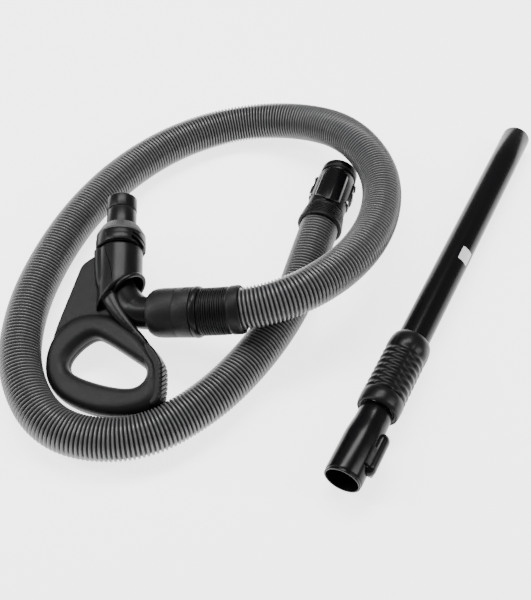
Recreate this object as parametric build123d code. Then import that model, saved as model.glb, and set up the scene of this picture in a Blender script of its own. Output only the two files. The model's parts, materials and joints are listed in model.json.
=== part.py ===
"""Suction hose with grip handle and telescopic wand of a canister vacuum cleaner.

Millimetres, +Z up, the floor is z = 0. The hose lies in one loop, the wand lies beside it.
"""
from build123d import *
import math
import os

os.makedirs("parts", exist_ok=True)

# ---- driving dimensions -------------------------------------------------------------------
TUBE_R = 17.5            # 35 mm standard vacuum tube, sized over its last stretch
TUBE_BODY_R = 17.75      # the rest of the tube, a little fuller
TUBE_BORE_R = 16.7
HOSE_R = 23.0            # outside of the hose corrugation
HOSE_BORE_R = 19.0
FIT_GAP = 0.05           # radial clearance of a sliding fit
BODY_GAP = 0.35          # clearance between pieces that move apart

# ---- frames -------------------------------------------------------------------------------
# The handle's own plane: x to the right of the grip, y along the spigot, z out of the top shell.
HANDLE = Plane(origin=(-152, -65, 55.3), x_dir=(0.9695, 0.0082, 0.2449), z_dir=(-0.24, -0.17, 0.956))
NECK_X = -63.0
NECK = Plane(origin=(NECK_X, 0, 0), x_dir=(1, 0, 0), z_dir=(0, 1, 0))
CUFF_DIR = (0.99, -0.14, 0)
CUFF = Plane(origin=(0, 0, 0), x_dir=(0, 0, 1), z_dir=CUFF_DIR)
# The machine connector: z runs from the hose to the machine, y is up.
CONNECTOR = Plane(origin=(14, 90, 27.5), x_dir=(-0.953, 0.303, 0), z_dir=(0.303, 0.953, 0))
# The wand: z runs from the socket's mouth to the open end, y is up.
WAND_SLOPE = -0.0166
WAND = Plane(origin=(22, -249, 26.9), x_dir=(-0.89, 0.456, 0), z_dir=(0.456, 0.89, WAND_SLOPE))

# ---- hose route, chosen by hand: from the handle's boot round the loop to the connector ------
HOSE_ROUTE = [
    (-80, -73, 72.2),
    (-36, -72, 82),
    (34, -23, 79),
    (78, 50, 71),
    (88, 132, 68),
    (53, 209, 64),
    (-10, 262, 38),
    (-90, 274, 23),
    (-166, 240, 23),
    (-228, 185, 23),
    (-274, 117, 23),
    (-305, 41, 23),
    (-323, -39, 23),
    (-319, -123, 23),
    (-273, -195, 23),
    (-186, -206, 23),
    (-115, -161, 23),
    (-62, -98, 23),
    (-21, -25, 23),
    (0, 46, 25.5),
    (14, 90, 27.5),
]

# ---- handle -------------------------------------------------------------------------------
GRIP_HALF = 14.0
GRIP_ROUND = 8.0
GRIP_OUTER = [(-138, -6), (-146, -42), (-124, -84), (-62, -113), (-17, -101),
              (-11, -62), (-30, -33), (-58, 0), (-100, 12)]
GRIP_OUTER_R = 20.0
GRIP_HOLE = [(-124, -46), (-87, -18), (-29, -66), (-52, -83)]
GRIP_HOLE_R = 9.0
GRIP_WALL = 5.5
WEB_OUTLINE = [(-141, -20), (-117, 64), (-101, 84), (-80, 86), (-80, 30), (-50, -14), (-100, 0)]
WEB_HALF = 6.0
BAND_OUTER = [(-77, 107), (-75, 80), (-70, 53), (-66, 27), (-58, 5), (-47, -10), (-28, -34)]
BAND_INNER = [(-49, -32), (-67, 0), (-82, 27), (-91, 54), (-95, 78), (-96, 107)]
BAND_LOW = 3.0
BAND_HIGH = 20.0
PAD_OUTLINE = [(-36, -44), (-24, -37), (-11.5, -62), (-15, -96), (-27, -103), (-26, -62)]
PAD_HALF = 11.0
PAD_RIBS = 7
SCREW_SPOTS = [(-130, -42), (-75, -92), (-62, -20)]
BOSS_R = 4.5
SCREW_R = 1.5

NECK_R = 25.0
NECK_BORE_R = 18.2
NECK_TOP = 87.6
ARCH_AT = (-54, 42)
ARCH_DIR = (0.62, -0.78, 0)
ARCH_R = 26.0
ARCH_BORE_R = 20.5
ARCH_DEPTH = 5.0
ELBOW_R = 18.0
ELBOW_BORE_R = 15.2
ELBOW_BEND = 33.0
ELBOW_TOP = 78.0
ELBOW_END = -10.0         # station along the cuff's axis

# stations along the spigot's axis
RING_LOW = 88.0
RING_HIGH = 105.0
RING_MIDDLE = (RING_LOW + RING_HIGH) / 2
FLUTE_HIGH = 118.5
SPIGOT_TIP = 159.0
SPIGOT_R = 17.35
SHANK_R = 17.0            # the spigot below its fitting, inside the seat and the fluted ring
SPIGOT_BORE_R = 15.2
TIP_CHAMFER = 0.8
SEAL_AT = 140.0
SEAL_WIDE = 3.0

# stations along the cuff's axis
CUFF_START = -32.0
CUFF_END = 25.5
CUFF_R = 27.2
CUFF_WALL = 2.6
BOOT_START = 33.0
BOOT_R = 25.8
BOOT_END = (77, -9)
BOOT_RIBS = 5
BOOT_RING_R = 26.2
BOOT_RING_WIDE = 12.0

# ---- connector ----------------------------------------------------------------------------
SKIRT_R = 27.4
SKIRT_LONG = 24.0
SKIRT_RIBS = 6
BODY_R = 23.6
BODY_END = 74.0
TIP_R = 22.4
TIP_END = 90.0
LATCH_LONG = 34.0
LATCH_WIDE = 13.0
LATCH_PIVOT = 34.0

# ---- wand ---------------------------------------------------------------------------------
WAND_END = 560.0
OUTER_START = 96.0
SLEEVE_START = 88.0
SLEEVE_END = 188.0
SLEEVE_R = 23.6
SLEEVE_RIBS = 7
INNER_R = 16.0
INNER_BORE_R = 15.2
SOCKET_LONG = 72.0
SOCKET_R = 20.3
SOCKET_DEPTH = 48.0
POD_ANGLE = 144.0         # of the release button, from x through y
HOUSING_ANGLE = 168.0     # of the housing that covers the button's spring
TUBE_SIZED_FROM = 500.0
PAWL_AT = 118.0
NOTCH_FIRST = 171.0
NOTCH_PITCH = 42.0
NOTCHES = 8
STICKER_AT = 322.0
STICKER_ANGLE = 132.0
STICKER_LONG = 20.0
STICKER_ROUND = 15.0


def ring(r_out, r_in, start, end):
    """A plain tube about the z axis."""
    middle = (start + end) / 2
    tube = Cylinder(r_out, end - start) - Cylinder(r_in, end - start + 1)
    return Pos(0, 0, middle) * tube


def turned(points):
    """A solid of revolution about the z axis from (radius, height) points."""
    profile = make_face(Plane.XZ * Polyline(*points, close=True))
    return revolve(profile, Axis.Z)


def outline(points, radius=0.0):
    """A face from corner points, all corners rounded alike."""
    face = make_face(Polyline(*points, close=True))
    return fillet(face.vertices(), radius) if radius else face


def slab(face, low, high):
    """A face of the XY plane extruded between two heights."""
    return Pos(0, 0, low) * extrude(face, high - low)


def on_neck(shape):
    return HANDLE * (NECK * shape)


def on_cuff(shape):
    return HANDLE * (CUFF * shape)


# ---- handle pieces --------------------------------------------------------------------------
def elbow_path():
    """Down the neck, then round to the cuff's axis."""
    corner = (NECK_X, NECK_X * CUFF_DIR[1] / CUFF_DIR[0])
    end = (CUFF_DIR[0] * ELBOW_END, CUFF_DIR[1] * ELBOW_END)
    return FilletPolyline((NECK_X, ELBOW_TOP), corner, end, radius=ELBOW_BEND)


def swept(radius, path):
    start = Plane(origin=path @ 0, z_dir=path % 0)
    return sweep(start * Circle(radius), path=path)


def band_face():
    outer = Spline(*BAND_OUTER)
    inner = Spline(*BAND_INNER)
    ends = [Line(BAND_OUTER[-1], BAND_INNER[0]), Line(BAND_INNER[-1], BAND_OUTER[0])]
    return make_face([outer, inner] + ends)


def neck_cylinder(radius, low, high):
    return NECK * (Pos(0, 0, (low + high) / 2) * Cylinder(radius, high - low))


def beyond_arch():
    """Everything past the plane of the arch, where the elbow comes out."""
    plane = Plane(origin=(ARCH_AT[0], ARCH_AT[1], 0), z_dir=ARCH_DIR)
    return plane * (Pos(0, 0, 30) * Box(120, 54, 60))


def grip_body():
    face = outline(GRIP_OUTER, GRIP_OUTER_R) - outline(GRIP_HOLE, GRIP_HOLE_R)
    body = slab(face, -GRIP_HALF, GRIP_HALF)
    rims = body.faces().sort_by(Axis.Z)[0].edges() + body.faces().sort_by(Axis.Z)[-1].edges()
    return fillet(rims, GRIP_ROUND)


def grip_cavity():
    inner = offset(outline(GRIP_OUTER, GRIP_OUTER_R), amount=-GRIP_WALL)
    hole = offset(outline(GRIP_HOLE, GRIP_HOLE_R), amount=GRIP_WALL)
    cavity = slab(inner - hole, -GRIP_HALF + 4.5, GRIP_HALF - 4.5)
    for x, y in SCREW_SPOTS:
        cavity -= Pos(x, y, 0) * Cylinder(BOSS_R, 2 * GRIP_HALF)
    return cavity


def band_block(top):
    """The band's space: over the neck and the elbow, proud of the web."""
    block = slab(band_face(), BAND_LOW, top)
    block -= neck_cylinder(21.6, 30, NECK_TOP + 5)
    block -= Pos(NECK_X, NECK_TOP + 50, 0) * Box(120, 100, 120)
    return block - swept(19.0, elbow_path())


def handle_body():
    body = grip_body() + slab(outline(WEB_OUTLINE), -WEB_HALF, WEB_HALF)
    neck = neck_cylinder(NECK_R, 18, NECK_TOP) - beyond_arch()
    spine = slab(band_face(), -12, 12) - beyond_arch() - neck_cylinder(NECK_R, 18, NECK_TOP + 5)
    spine -= Pos(NECK_X, NECK_TOP + 50, 0) * Box(120, 100, 120)
    body = body + neck + spine
    body -= grip_cavity()
    body -= neck_cylinder(NECK_BORE_R, 30, NECK_TOP + 5)
    body -= swept(ELBOW_R + 1.0, elbow_path())
    body -= slab(outline(PAD_OUTLINE), -PAD_HALF, PAD_HALF)
    body -= band_block(60)
    return body


def handle_shells():
    """Top and bottom shell, parted at the handle's plane."""
    body = handle_body()
    top = body & (Pos(-80, 0, 100) * Box(300, 400, 200))
    bottom = body & (Pos(-80, 0, -100) * Box(300, 400, 200))
    for x, y in SCREW_SPOTS:
        top -= Pos(x, y, 5) * Cylinder(SCREW_R, 10)
        bottom -= Pos(x, y, -7) * Cylinder(SCREW_R + 0.2, 20)
        bottom -= Pos(x, y, -13) * Cylinder(3.2, 8)
    return largest(top), largest(bottom)


def largest(shape):
    return shape.solids().sort_by(SortBy.VOLUME)[-1]


def shell_screws():
    screws = []
    for x, y in SCREW_SPOTS:
        shank = Pos(x, y, 0) * Cylinder(SCREW_R, 17)
        head = Pos(x, y, -10.2) * Cylinder(3.0, 2.4)
        recess = Pos(x, y, -11.0) * Box(4.2, 0.8, 1.2)
        cross = Pos(x, y, -11.0) * Box(0.8, 4.2, 1.2)
        screws.append(HANDLE * (shank + head - recess - cross))
    return Compound(children=screws)


def trim_band():
    return HANDLE * largest(band_block(BAND_HIGH))


def tail_pad():
    """Soft end pad with slanted ribs for the heel of the hand."""
    pad = slab(outline(PAD_OUTLINE), -PAD_HALF + 0.1, PAD_HALF - 0.1)
    for i in range(PAD_RIBS):
        groove = Pos(-9, -96 + i * 8, 0) * Rot(0, 0, 28) * Box(16, 1.6, 40)
        pad -= groove
    return HANDLE * largest(pad)


def arch_collar():
    plane = Plane(origin=(ARCH_AT[0], ARCH_AT[1], 0), z_dir=ARCH_DIR)
    collar = plane * ring(ARCH_R, ARCH_BORE_R, 0.1, ARCH_DEPTH)
    return HANDLE * largest(collar - swept(ELBOW_R + 0.5, elbow_path()) - band_block(60))


def elbow():
    path = elbow_path()
    bend = swept(ELBOW_R, path) - swept(ELBOW_BORE_R, path)
    return HANDLE * bend


def elbow_bearing():
    """The groove ring that the cuff turns on."""
    return on_cuff(ring(21.0, ELBOW_R + 0.05, CUFF_START + 10, CUFF_START + 16))


def seat_tube():
    """The inner seat at the top of the neck that the suction ring turns on."""
    points = [(SHANK_R, ELBOW_TOP + 0.5), (NECK_BORE_R - 0.1, ELBOW_TOP + 0.5), (NECK_BORE_R - 0.1, NECK_TOP),
              (22.0, NECK_TOP), (22.0, RING_HIGH), (SHANK_R, RING_HIGH)]
    return on_neck(turned(points))


def vent_slots():
    """Bleed-air slots cut through the seat, under the suction ring."""
    slot = Pos(20, 0, RING_MIDDLE) * Box(12, 3, 8)
    return [NECK * (Rot(0, 0, angle) * slot) for angle in (70, 90, 110)]


def spigot():
    points = [(SPIGOT_BORE_R, ELBOW_TOP + 0.5), (SHANK_R, ELBOW_TOP + 0.5), (SHANK_R, FLUTE_HIGH),
              (SPIGOT_R, FLUTE_HIGH), (SPIGOT_R, SPIGOT_TIP - TIP_CHAMFER),
              (SPIGOT_R - TIP_CHAMFER, SPIGOT_TIP), (SPIGOT_BORE_R, SPIGOT_TIP)]
    groove = ring(SPIGOT_R + 1, SPIGOT_R - 1.4, SEAL_AT, SEAL_AT + SEAL_WIDE)
    return on_neck(turned(points) - groove)


def spigot_seal():
    return on_neck(ring(SPIGOT_R - 0.2, SPIGOT_R - 1.4, SEAL_AT + 0.1, SEAL_AT + SEAL_WIDE - 0.1))


def fluted_ring():
    cone = turned([(SHANK_R + 0.02, RING_HIGH), (28.0, RING_HIGH), (22.5, FLUTE_HIGH - 2),
                   (21.5, FLUTE_HIGH), (SHANK_R + 0.02, FLUTE_HIGH)])
    slope = math.degrees(math.atan2(28.0 - 22.5, FLUTE_HIGH - 2 - RING_HIGH))
    flute = Pos(25.6, 0, (RING_HIGH + FLUTE_HIGH) / 2 - 1) * Rot(0, -slope, 0) * Cylinder(0.9, 30)
    flutes = [Rot(0, 0, 10 * i) * flute for i in range(36)]
    return on_neck(cone - flutes)


def suction_ring():
    """The ring that opens the bleed-air slots."""
    gap = FIT_GAP
    low = RING_LOW + 0.1
    high = RING_HIGH - BODY_GAP
    body = turned([(22.0 + gap, low), (27.5, low), (29.0, low + 2), (29.4, high - 2), (28.0, high),
                   (22.0 + gap, high)])
    thumb_pad = Pos(0, -29.2, (low + high) / 2) * Box(14, 2.4, 10)
    window = Rot(0, 0, 30) * (Pos(26, 0, RING_MIDDLE) * Box(16, 12, 7))
    return on_neck(body + thumb_pad - window)


# ---- cuff and boot ----------------------------------------------------------------------------
def cuff_shell():
    inner = CUFF_R - CUFF_WALL
    nose = ELBOW_R + BODY_GAP
    points = [(nose, CUFF_START), (22.0, CUFF_START), (25.6, CUFF_START + 4), (CUFF_R, CUFF_START + 9),
              (CUFF_R + 0.5, CUFF_END), (inner, CUFF_END), (inner, CUFF_START + 19), (21.05, CUFF_START + 17),
              (21.05, CUFF_START + 9), (nose, CUFF_START + 9)]
    shell = turned(points)
    clip_slot = Rot(0, 0, -25) * (Pos(CUFF_R, 0, 14) * Box(3, 9, 3))
    return on_cuff(shell - clip_slot)


def cuff_clip():
    """The small snap tongue that holds the cuff on its insert."""
    tongue = Rot(0, 0, -25) * (Pos(CUFF_R - 0.6, 0, 14) * Box(1.6, 8.4, 2.4))
    return on_cuff(tongue)


def cuff_collar():
    points = [(24.0, CUFF_END + 0.05), (CUFF_R + 0.9, CUFF_END + 0.05), (CUFF_R + 1.1, CUFF_END + 3),
              (26.0, BOOT_START - 0.4), (24.0, BOOT_START - 0.4)]
    return on_cuff(turned(points))


def boot_path():
    start = Vector(*CUFF_DIR).normalized() * BOOT_START
    return TangentArc(start, (BOOT_END[0], BOOT_END[1], 0), tangent=CUFF_DIR)


def ring_on(path, share, r_out, r_in, width):
    """A ring set square to a path, at a share of its length."""
    return path.location_at(share) * ring(r_out, r_in, -width / 2, width / 2)


def boot():
    path = boot_path()
    start = Plane(origin=path @ 0, z_dir=path % 0)
    sleeve_wall = sweep(start * (Circle(24.3) - Circle(HOSE_R + 0.1)), path=path)
    reach = 1 - BOOT_RING_WIDE / path.length
    ribs = [ring_on(path, 0.05, BOOT_R - 0.6, HOSE_R + 0.3, 3.5)]
    for i in range(BOOT_RIBS):
        share = 0.16 + (reach - 0.22) * i / (BOOT_RIBS - 1)
        ribs.append(ring_on(path, share, BOOT_R, HOSE_R + 0.3, 3.6))
    ring_space = path.location_at(1) * (Pos(0, 0, -BOOT_RING_WIDE / 2 + 5) * Cylinder(60, BOOT_RING_WIDE + 10.2))
    return HANDLE * largest(sleeve_wall + ribs - ring_space)


def boot_ring():
    path = boot_path()
    points = [(HOSE_R - 1, -BOOT_RING_WIDE), (25.0, -BOOT_RING_WIDE), (BOOT_RING_R, -BOOT_RING_WIDE + 2),
              (BOOT_RING_R, -2), (25.2, 0), (HOSE_R + 0.9, 0), (HOSE_R + 0.9, -5.0), (HOSE_R - 1, -5.0)]
    return HANDLE * (path.location_at(1) * turned(points))


def hose_insert():
    """The threaded sleeve that the hose is screwed on to, inside the boot."""
    return on_cuff(turned([(19.3, 4), (21.6, 4), (21.6, 58), (19.3, 58)]))


# ---- hose -----------------------------------------------------------------------------------
def corner_radii(points):
    """For each corner, 0.45 of the shorter run over the tangent of half the turn."""
    radii = []
    for before, corner, after in zip(points, points[1:], points[2:]):
        run_in = Vector(*corner) - Vector(*before)
        run_out = Vector(*after) - Vector(*corner)
        half_turn = math.radians(run_in.get_angle(run_out)) / 2
        radii.append(0.45 * min(run_in.length, run_out.length) / math.tan(half_turn))
    return radii


def hose():
    radii = corner_radii(HOSE_ROUTE)
    print("hose radii:", [round(r) for r in radii])
    path = FilletPolyline(*HOSE_ROUTE, radius=radii)
    start = Plane(origin=path @ 0, z_dir=path % 0)
    tube = sweep(start * (Circle(HOSE_R) - Circle(HOSE_BORE_R)), path=path)
    section = math.pi * (HOSE_R ** 2 - HOSE_BORE_R ** 2)
    print("hose length:", round(path.length), "volume ratio:", round(tube.volume / (section * path.length), 4))
    return tube


# ---- connector ------------------------------------------------------------------------------
def skirt():
    """The flared collar that grips the hose end."""
    points = [(HOSE_R + 0.9, -9), (SKIRT_R, -9), (SKIRT_R, -3), (24.6, SKIRT_LONG - 9), (19.6, SKIRT_LONG - 9),
              (19.6, 2.0), (HOSE_R + 0.9, 2.0)]
    collar = turned(points)
    for i in range(SKIRT_RIBS):
        height = -1 + i * 2.6
        radius = SKIRT_R - 1.9 - (height + 3) * (SKIRT_R - 24.6) / 18
        collar -= Pos(0, 0, height) * (Cylinder(40, 0.9) - Cylinder(radius + 0.9, 2))
    return CONNECTOR * collar


def skirt_bush():
    """The bush that the connector turns on, fixed in the skirt."""
    return CONNECTOR * turned([(16.0, 2.1), (19.5, 2.1), (19.5, 34), (20.3, 34), (20.3, 37), (16.0, 37)])


def connector_body():
    start = SKIRT_LONG - 9 + BODY_GAP
    points = [(19.5 + FIT_GAP + 0.05, start), (BODY_R - 1, start), (BODY_R, start + 2), (BODY_R, BODY_END),
              (21.6, BODY_END), (21.6, 30), (19.5 + FIT_GAP + 0.05, 30)]
    body = turned(points)
    for side in (-1, 1):
        body -= Pos(side * 23, 0, LATCH_PIVOT + 17) * Box(8.4, LATCH_WIDE + 1, LATCH_LONG + 7)
        body -= Pos(side * 23, 0, LATCH_PIVOT) * Rot(90, 0, 0) * Cylinder(1.25, LATCH_WIDE + 8)
    return CONNECTOR * body


def connector_tip():
    """The end that seats in the machine, with its sealing rim."""
    start = BODY_END + 0.05
    points = [(16.5, start), (21.5, start), (21.5, TIP_END - 8), (TIP_R, TIP_END - 6), (TIP_R, TIP_END - 1),
              (21.6, TIP_END), (17.5, TIP_END), (16.5, TIP_END - 1)]
    return CONNECTOR * turned(points)


def tip_seal():
    return CONNECTOR * ring(TIP_R + 0.2, 21.55, TIP_END - 12, TIP_END - 8.2)


def paddle_panel():
    """The raised panel on the connector's back, with a V-shaped lower edge."""
    face = make_face(Polyline((-13, 24), (0, 17.5), (13, 24), (13, 68), (9, 72), (-9, 72), (-13, 68), close=True))
    panel = Rot(-90, 0, 0) * extrude(face, 60)
    panel = mirror(panel, Plane.XY) if panel.center().Z < 0 else panel
    shell = ring(BODY_R + 2.6, BODY_R + 0.02, 16, 74)
    upper = Pos(0, 30, 45) * Box(80, 60, 100)
    return CONNECTOR * largest(panel & shell & upper)


def latch(side):
    """A rocking latch: thumb pad near the skirt's end, hook at the machine's end."""
    lever = Pos(side * 23.2, 0, LATCH_PIVOT + 17) * Box(3.4, LATCH_WIDE, LATCH_LONG)
    hub = Pos(side * 23.0, 0, LATCH_PIVOT) * Rot(90, 0, 0) * Cylinder(2.2, LATCH_WIDE)
    hook = Pos(side * 25.2, 0, LATCH_PIVOT + 32) * Box(2.4, 9, 3)
    pad = Pos(side * 25.2, 0, LATCH_PIVOT + 12) * Box(1.6, 10, 14)
    eye = Pos(side * 23.0, 0, LATCH_PIVOT) * Rot(90, 0, 0) * Cylinder(1.25, 40)
    return CONNECTOR * (lever + hub + hook + pad - eye)


def latch_pin(side):
    return CONNECTOR * (Pos(side * 23.0, 0, LATCH_PIVOT) * Rot(90, 0, 0) * Cylinder(1.2, LATCH_WIDE + 7))


# ---- wand -----------------------------------------------------------------------------------
def outer_tube():
    """The tube that carries the tool: full over most of its length, sized to 35 mm at its end."""
    tube = ring(TUBE_BODY_R, TUBE_BORE_R, OUTER_START, TUBE_SIZED_FROM)
    tube += ring(TUBE_R, TUBE_BORE_R, TUBE_SIZED_FROM, WAND_END)
    return WAND * (tube - Pos(0, 18, PAWL_AT) * Box(7, 8, 9))


def guide_bush():
    """Plastic bush in the outer tube's mouth that the inner tube slides in."""
    inner = INNER_R + FIT_GAP
    bush = turned([(inner, OUTER_START - 4), (TUBE_R + 1.4, OUTER_START - 4), (TUBE_R + 1.4, OUTER_START - 0.2),
                   (TUBE_BORE_R - 0.02, OUTER_START - 0.2), (TUBE_BORE_R - 0.02, OUTER_START + 40),
                   (inner, OUTER_START + 40)])
    pawl_window = Pos(0, 17, PAWL_AT) * Box(7.4, 8, 9.4)
    return WAND * (bush - pawl_window)


def lock_pawl():
    """The locking block that the sleeve lets drop out of the inner tube's notch."""
    pawl = Pos(0, 18.3, PAWL_AT) * Box(6.6, 4.0, 8.6)
    return WAND * (pawl - Pos(0, 0, PAWL_AT) * Cylinder(INNER_R + 0.35, 20))


def inner_tube():
    tube = ring(INNER_R, INNER_BORE_R, SOCKET_LONG - 18, WAND_END - 18)
    for i in range(NOTCHES):
        tube -= Pos(0, INNER_R, NOTCH_FIRST + i * NOTCH_PITCH) * Box(7, 1.0, 9)
    return WAND * tube


def sleeve():
    """Ribbed slide sleeve: raised ribs in six groups, parted by channels."""
    bore = TUBE_R + 4.2
    points = [(bore, SLEEVE_START), (21.9, SLEEVE_START), (SLEEVE_R - 0.3, SLEEVE_START + 5),
              (SLEEVE_R, SLEEVE_START + 16), (SLEEVE_R - 1.6, SLEEVE_START + 19), (SLEEVE_R - 1.6, 165),
              (SLEEVE_R, 168), (SLEEVE_R, SLEEVE_END - 8), (21.0, SLEEVE_END),
              (TUBE_BODY_R + FIT_GAP, SLEEVE_END), (TUBE_BODY_R + FIT_GAP, SLEEVE_END - 22), (bore, SLEEVE_END - 22)]
    body = turned(points)
    for i in range(SLEEVE_RIBS):
        height = SLEEVE_START + 23 + i * 8.2
        body += ring(SLEEVE_R, SLEEVE_R - 2.0, height - 1.9, height + 1.9)
    for i in range(6):
        channel = Pos(SLEEVE_R, 0, SLEEVE_START + 48) * Box(3.0, 2.6, 58)
        body -= Rot(0, 0, 20 + 60 * i) * channel
    return WAND * body


def sleeve_spring():
    """The spring that pushes the sleeve back to its locked place."""
    coil = Helix(pitch=7, height=21, radius=20.2)
    start = Plane(origin=coil @ 0, z_dir=coil % 0)
    wire = sweep(start * Circle(0.6), path=coil)
    return WAND * (Pos(0, 0, SLEEVE_END - 45) * wire)


def spring_seat():
    return WAND * ring(21.4, TUBE_BODY_R + 0.02, SLEEVE_END - 48.5, SLEEVE_END - 45.8)


def sleeve_nose():
    """The small ring clipped in the sleeve's front end."""
    return WAND * ring(21.6, 19.2, SLEEVE_START + 1, SLEEVE_START + 5.5)


def socket():
    """The moulded end that takes the handle's spigot, necked down on to the inner tube."""
    points = [(TUBE_R + 0.05, 0), (SOCKET_R - 0.6, 0), (SOCKET_R - 0.6, 1.6), (SOCKET_R, 1.6), (SOCKET_R, 52),
              (18.4, SOCKET_LONG), (18.4, SOCKET_LONG + 12), (INNER_R + 0.02, SOCKET_LONG + 12),
              (INNER_R + 0.02, SOCKET_DEPTH + 5), (15.4, SOCKET_DEPTH + 5), (15.4, SOCKET_DEPTH),
              (TUBE_R + 0.05, SOCKET_DEPTH)]
    body = turned(points)
    body -= Rot(0, 0, POD_ANGLE) * (Pos(18, 0, 31) * Box(6, 8.8, 23))
    return WAND * body



def button_housing():
    """Oblong housing on the socket's side, covering the button's spring."""
    block = extrude(SlotOverall(50, 17), 30)
    block = Plane(origin=(0, 0, 39), x_dir=(0, 0, 1), z_dir=(1, 0, 0)) * block
    shell = ring(27.4, SOCKET_R + 0.05, 0, 80)
    pod = Rot(0, 0, HOUSING_ANGLE) * (block & shell)
    pod -= Rot(0, 0, POD_ANGLE) * (Pos(22, 0, 31) * Box(12, 10, 24.5))
    return WAND * largest(pod)


def release_button():
    button = Pos(21.0, 0, 31) * Box(4.0, 8.2, 20)
    tooth = Pos(18.6, 0, 25) * Box(1.6, 5, 3)
    return WAND * (Rot(0, 0, POD_ANGLE) * (button + tooth))


def sticker():
    """Blank rating sticker, bowed to the tube."""
    half = STICKER_LONG / 2
    film = ring(TUBE_BODY_R + 0.15, TUBE_BODY_R + 0.03, STICKER_AT - half, STICKER_AT + half)
    wedge = Rot(0, 0, STICKER_ANGLE) * (Pos(25, 0, STICKER_AT) * Box(50, STICKER_ROUND, 30))
    return WAND * (film & wedge)


def end_rim():
    """The rolled rim inside the wand's open end."""
    return WAND * ring(TUBE_BORE_R - 0.02, TUBE_BORE_R - 1.0, WAND_END - 14, WAND_END - 1)


top_shell, bottom_shell = handle_shells()
parts = {
    "handle_top_shell": HANDLE * top_shell,
    "handle_bottom_shell": HANDLE * bottom_shell,
    "handle_trim_band": trim_band(),
    "handle_tail_pad": tail_pad(),
    "handle_screws": shell_screws(),
    "arch_collar": arch_collar(),
    "elbow": elbow(),
    "elbow_bearing": elbow_bearing(),
    "neck_seat": seat_tube() - [HANDLE * slot for slot in vent_slots()],
    "spigot": spigot(),
    "spigot_seal": spigot_seal(),
    "fluted_ring": fluted_ring(),
    "suction_ring": suction_ring(),
    "cuff_shell": cuff_shell(),
    "cuff_clip": cuff_clip(),
    "cuff_collar": cuff_collar(),
    "boot": boot(),
    "boot_ring": boot_ring(),
    "hose_insert": hose_insert(),
    "hose": hose(),
    "connector_skirt": skirt(),
    "connector_bush": skirt_bush(),
    "connector_body": connector_body(),
    "connector_tip": connector_tip(),
    "connector_seal": tip_seal(),
    "connector_panel": paddle_panel(),
    "latch_left": latch(1),
    "latch_right": latch(-1),
    "latch_pin_left": latch_pin(1),
    "latch_pin_right": latch_pin(-1),
    "wand_outer_tube": outer_tube(),
    "wand_guide_bush": guide_bush(),
    "wand_lock_pawl": lock_pawl(),
    "wand_inner_tube": inner_tube(),
    "wand_sleeve": sleeve(),
    "wand_sleeve_spring": sleeve_spring(),
    "wand_spring_seat": spring_seat(),
    "wand_sleeve_nose": sleeve_nose(),
    "wand_socket": socket(),
    "wand_button_housing": button_housing(),
    "wand_release_button": release_button(),
    "wand_sticker": sticker(),
    "wand_end_rim": end_rim(),
}

for name, shape in parts.items():
    export_step(shape, f"parts/{name}.step")
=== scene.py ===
# %% [markdown]
# # A suction hose with its grip handle, and a telescopic wand
#
# This lesson dresses a finished CAD model. The CAD model holds every size, axis and joint.
# Here each part gets the rounded edges, ribs, grain and gloss of moulded plastic, enamelled
# steel and corrugated hose. The places of the parts come from the joints and mounts of the CAD
# record, and all small sizes are written in millimetres.

# %% Load the CAD frame
import json
import math

import bmesh
import bpy
from mathutils import Matrix, Vector


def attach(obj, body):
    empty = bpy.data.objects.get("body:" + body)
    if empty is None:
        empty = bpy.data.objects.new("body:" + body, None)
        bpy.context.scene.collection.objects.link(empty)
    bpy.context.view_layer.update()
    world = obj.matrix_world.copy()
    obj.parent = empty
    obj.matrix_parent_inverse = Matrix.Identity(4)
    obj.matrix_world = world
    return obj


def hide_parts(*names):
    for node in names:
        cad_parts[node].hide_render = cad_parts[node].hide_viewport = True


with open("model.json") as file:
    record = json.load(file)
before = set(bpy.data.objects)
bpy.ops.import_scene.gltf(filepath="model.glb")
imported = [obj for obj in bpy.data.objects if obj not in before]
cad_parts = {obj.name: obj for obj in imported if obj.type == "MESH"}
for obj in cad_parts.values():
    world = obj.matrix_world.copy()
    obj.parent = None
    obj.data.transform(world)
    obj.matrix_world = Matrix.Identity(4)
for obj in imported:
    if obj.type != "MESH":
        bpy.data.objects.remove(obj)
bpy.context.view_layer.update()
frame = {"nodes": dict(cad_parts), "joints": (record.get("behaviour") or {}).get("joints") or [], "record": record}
joints = {joint["name"]: joint for joint in frame["joints"]}
mounts = {mount["name"]: mount for mount in frame["record"]["mounts"]}
MM = 0.001

# %% [markdown]
# ## Working planes
#
# A moulded handle is drawn on its own plane, a turned part about its own axis. So each group of
# parts gets a matrix that takes millimetres on its plane to metres in the model. The matrices are
# built from joint positions and axes, so they follow the CAD model if it changes.

# %% Working planes from the joints
def plane(origin, z_dir, x_hint):
    """The matrix of a plane in millimetres, from its origin in metres, normal and rough x."""
    z = Vector(z_dir).normalized()
    x = Vector(x_hint)
    x = (x - z * x.dot(z)).normalized()
    y = z.cross(x)
    turn = Matrix((x, y, z)).transposed().to_4x4()
    return Matrix.Translation(Vector(origin)) @ turn @ Matrix.Scale(MM, 4)


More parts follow.
